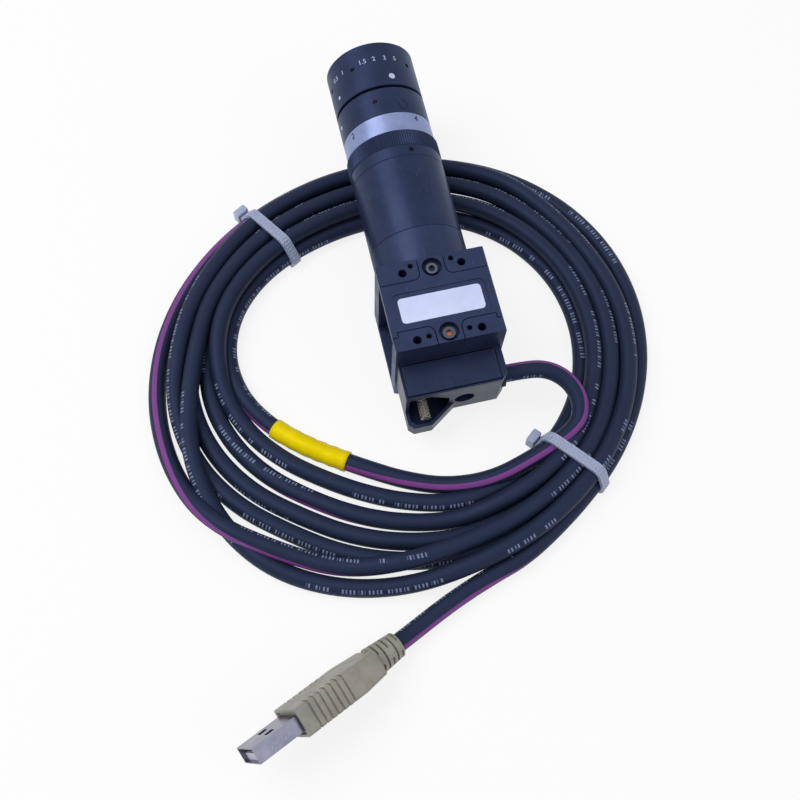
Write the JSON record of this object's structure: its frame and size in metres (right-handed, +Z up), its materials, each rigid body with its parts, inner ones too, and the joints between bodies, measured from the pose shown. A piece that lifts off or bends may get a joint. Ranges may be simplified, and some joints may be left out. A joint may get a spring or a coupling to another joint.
{
  "type": "machine vision camera",
  "caption": "Small industrial camera with a lens on an extension tube, an angled plug hood and its own coiled cable that ends in a USB plug.",
  "frame": {"origin": "middle of the tipped camera's footprint on the surface, without the cable", "axes": "+Z up, +Y the way the lens looks, along the floor; the optical axis rises 6.44 degrees towards +Y; +X to the right seen from behind the camera"},
  "size_m": [0.1567, 0.2053, 0.0427],
  "materials": {
    "black_anodised_aluminium": "bead-blasted and anodised black",
    "black_lens_barrel": "turned and anodised black, satin",
    "satin_silver_aluminium": "turned and anodised clear, satin",
    "black_steel_screw": "black oxide",
    "brass_screw": "bright brass",
    "nickel_steel": "nickel plated",
    "blackened_blade_steel": "blackened, matt",
    "silver_label": "printed polyester film",
    "circuit_board": "solder mask",
    "sensor_package": "moulded package",
    "connector_shell": "moulded body",
    "black_moulded_nylon": "moulded nylon, fine grain",
    "black_rubber": "moulded rubber",
    "coated_glass": "coated optical glass",
    "cable_jacket": "extruded PVC, satin",
    "yellow_sleeve": "heat-shrink film",
    "clear_nylon": "natural nylon, translucent",
    "grey_overmould": "moulded PVC, eggshell",
    "white_plastic": "moulded",
    "gold_contacts": "gold flash"
  },
  "bodies": {
    "camera": {"board_link": "sensor_package", "bottom_cover": "black_anodised_aluminium", "bottom_screw_front": "black_steel_screw", "bottom_screw_rear": "black_steel_screw", "cable_bush": "black_rubber", "cable_tie_1": "clear_nylon", "cable_tie_2": "clear_nylon", "collar_grub": "black_steel_screw", "cord_coil": "cable_jacket", "cord_lead": "cable_jacket", "cord_tail": "cable_jacket", "core_tube": "black_anodised_aluminium", "d_plug": "connector_shell", "d_socket": "connector_shell", "extension_tube": "black_anodised_aluminium", "filter_glass": "coated_glass", "front_block": "black_anodised_aluminium", "hood_lid": "black_moulded_nylon", "image_sensor": "sensor_package", "index_sleeve": "black_lens_barrel", "iris_base": "black_lens_barrel", "label_plate": "silver_label", "lens_barrel": "black_lens_barrel", "main_board": "circuit_board", "marker_sleeve": "yellow_sleeve", "mount_ring": "black_anodised_aluminium", "plug_hood": "black_moulded_nylon", "rear_block": "black_anodised_aluminium", "rear_glass": "coated_glass", "sensor_board": "circuit_board", "sleeve_grub": "black_steel_screw", "top_cover": "black_anodised_aluminium", "top_screw_front": "black_steel_screw", "top_screw_rear": "brass_screw", "usb_contacts": "gold_contacts", "usb_overmould": "grey_overmould", "usb_shell": "nickel_steel", "usb_tongue": "white_plastic"},
    "iris": {"iris_ring": "black_lens_barrel", "iris_scale_ring": "satin_silver_aluminium", "iris_drive_pin": "nickel_steel", "iris_cam": "black_lens_barrel"},
    "blade_1": {"iris_blade_1": "blackened_blade_steel"},
    "blade_2": {"iris_blade_2": "blackened_blade_steel"},
    "blade_3": {"iris_blade_3": "blackened_blade_steel"},
    "blade_4": {"iris_blade_4": "blackened_blade_steel"},
    "blade_5": {"iris_blade_5": "blackened_blade_steel"},
    "blade_6": {"iris_blade_6": "blackened_blade_steel"},
    "cell": {"optics_cell": "black_lens_barrel", "front_glass": "coated_glass", "front_glass_ring": "black_lens_barrel", "inner_glass": "coated_glass", "guide_pin": "nickel_steel"},
    "focus": {"focus_ring": "black_lens_barrel", "cell_retainer": "black_lens_barrel", "focus_grub_1": "black_steel_screw", "focus_grub_2": "black_steel_screw", "focus_grub_3": "black_steel_screw"},
    "left_jackscrew": {"jackscrew_left": "nickel_steel"},
    "right_jackscrew": {"jackscrew_right": "nickel_steel"}
  },
  "joints": [
    {"name": "iris_turn", "type": "hinge", "parent": "camera", "child": "iris", "pos_m": [0, 0.02442, 0.02474], "axis": [0, 0.9937, 0.1122], "range_deg": [-20, 36.67]},
    {"name": "iris_blade_1_turn", "type": "hinge", "parent": "camera", "child": "blade_1", "pos_m": [0, 0.02822, 0.03498], "axis": [0, 0.9937, 0.1122], "range_deg": [-12.01, 22.01]},
    {"name": "iris_blade_2_turn", "type": "hinge", "parent": "camera", "child": "blade_2", "pos_m": [0.00844, 0.02877, 0.03014], "axis": [0, 0.9937, 0.1122], "range_deg": [-12.01, 22.01]},
    {"name": "iris_blade_3_turn", "type": "hinge", "parent": "camera", "child": "blade_3", "pos_m": [0.00844, 0.02986, 0.02045], "axis": [0, 0.9937, 0.1122], "range_deg": [-12.01, 22.01]},
    {"name": "iris_blade_4_turn", "type": "hinge", "parent": "camera", "child": "blade_4", "pos_m": [0, 0.03041, 0.01561], "axis": [0, 0.9937, 0.1122], "range_deg": [-12.01, 22.01]},
    {"name": "iris_blade_5_turn", "type": "hinge", "parent": "camera", "child": "blade_5", "pos_m": [-0.00844, 0.02986, 0.02045], "axis": [0, 0.9937, 0.1122], "range_deg": [-12.01, 22.01]},
    {"name": "iris_blade_6_turn", "type": "hinge", "parent": "camera", "child": "blade_6", "pos_m": [-0.00844, 0.02877, 0.03014], "axis": [0, 0.9937, 0.1122], "range_deg": [-12.01, 22.01]},
    {"name": "focus_slide", "type": "slide", "parent": "camera", "child": "cell", "axis": [0, 0.9937, 0.1122], "range_m": [-0.0006, 0.002]},
    {"name": "focus_turn", "type": "hinge", "parent": "cell", "child": "focus", "pos_m": [0, 0.05125, 0.02777], "axis": [0, 0.9937, 0.1122], "range_deg": [-67.5, 225]},
    {"name": "jackscrew_left_turn", "type": "hinge", "parent": "camera", "child": "left_jackscrew", "pos_m": [-0.0102, -0.05294, 0.0147], "axis": [0, 0.9937, 0.1122], "continuous": true},
    {"name": "jackscrew_right_turn", "type": "hinge", "parent": "camera", "child": "right_jackscrew", "pos_m": [0.0023, -0.05095, 0.01493], "axis": [0, 0.9937, 0.1122], "continuous": true}
  ],
  "couplings": [
    {"joint": "iris_blade_1_turn", "follows": "iris_turn", "ratio": 0.6},
    {"joint": "iris_blade_2_turn", "follows": "iris_turn", "ratio": 0.6},
    {"joint": "iris_blade_3_turn", "follows": "iris_turn", "ratio": 0.6},
    {"joint": "iris_blade_4_turn", "follows": "iris_turn", "ratio": 0.6},
    {"joint": "iris_blade_5_turn", "follows": "iris_turn", "ratio": 0.6},
    {"joint": "iris_blade_6_turn", "follows": "iris_turn", "ratio": 0.6},
    {"joint": "focus_slide", "follows": "focus_turn", "m_per_rad": 0.0005093}
  ]
}
